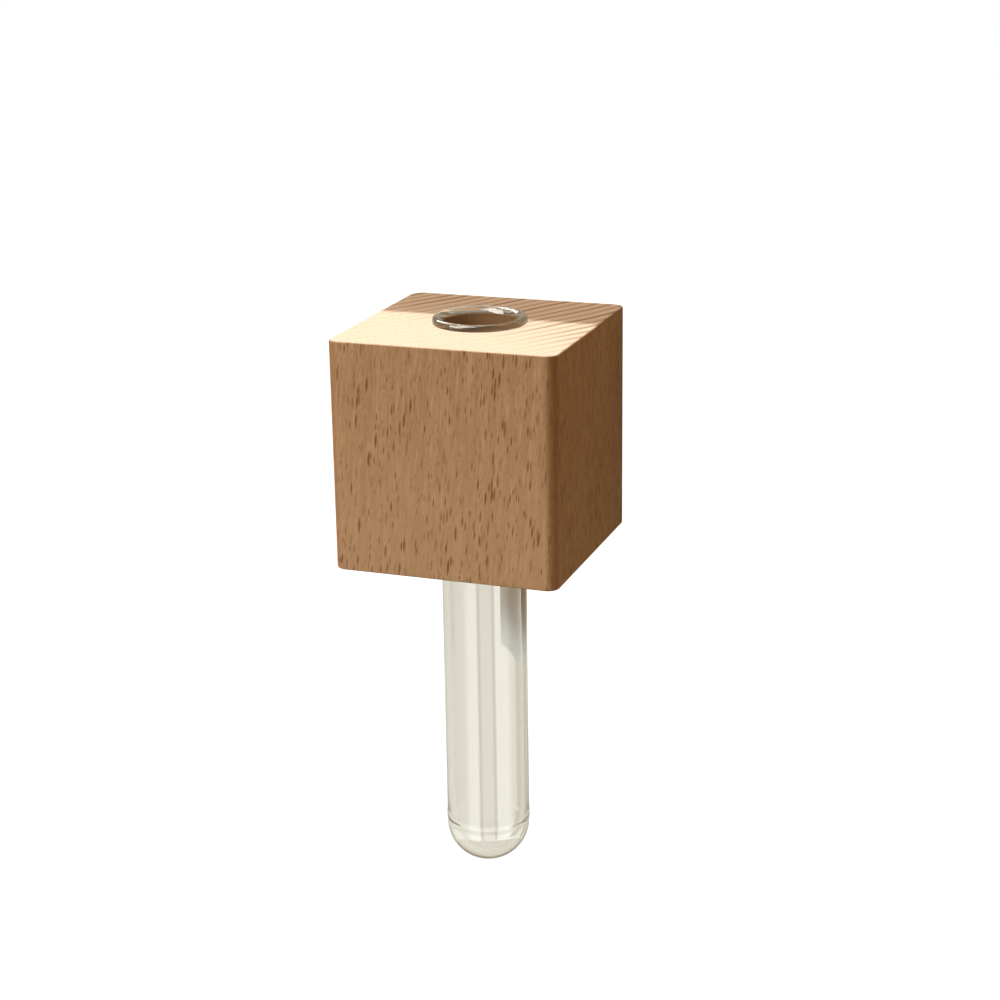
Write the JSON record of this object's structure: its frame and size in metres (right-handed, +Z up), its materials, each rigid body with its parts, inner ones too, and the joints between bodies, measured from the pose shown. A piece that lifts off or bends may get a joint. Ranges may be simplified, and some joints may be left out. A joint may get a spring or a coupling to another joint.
{
  "type": "test tube vase",
  "caption": "Beech block with a clear round-bottomed glass tube hanging through it by its lip; magnets in the back hold it on an upright steel surface, and the tube lifts out.",
  "frame": {"origin": "middle of the block's back face, which lies against the surface that the vase hangs on", "axes": "+Z up along the tube, +Y out of the back face, front towards -Y, +X to the right seen from the front"},
  "size_m": [0.04, 0.04, 0.102],
  "materials": {
    "beech": "planed and sanded, unvarnished",
    "clear_glass": "clear, fire-polished lip",
    "nickel": "bright nickel plate"
  },
  "bodies": {
    "block": {"wooden_block": "beech", "upper_magnet": "nickel", "lower_magnet": "nickel"},
    "tube": {"test_tube": "clear_glass"}
  },
  "joints": [
    {"name": "tube_lift", "type": "slide", "parent": "block", "child": "tube", "axis": [0, 0, 1], "range_m": [0, 0.105]}
  ]
}
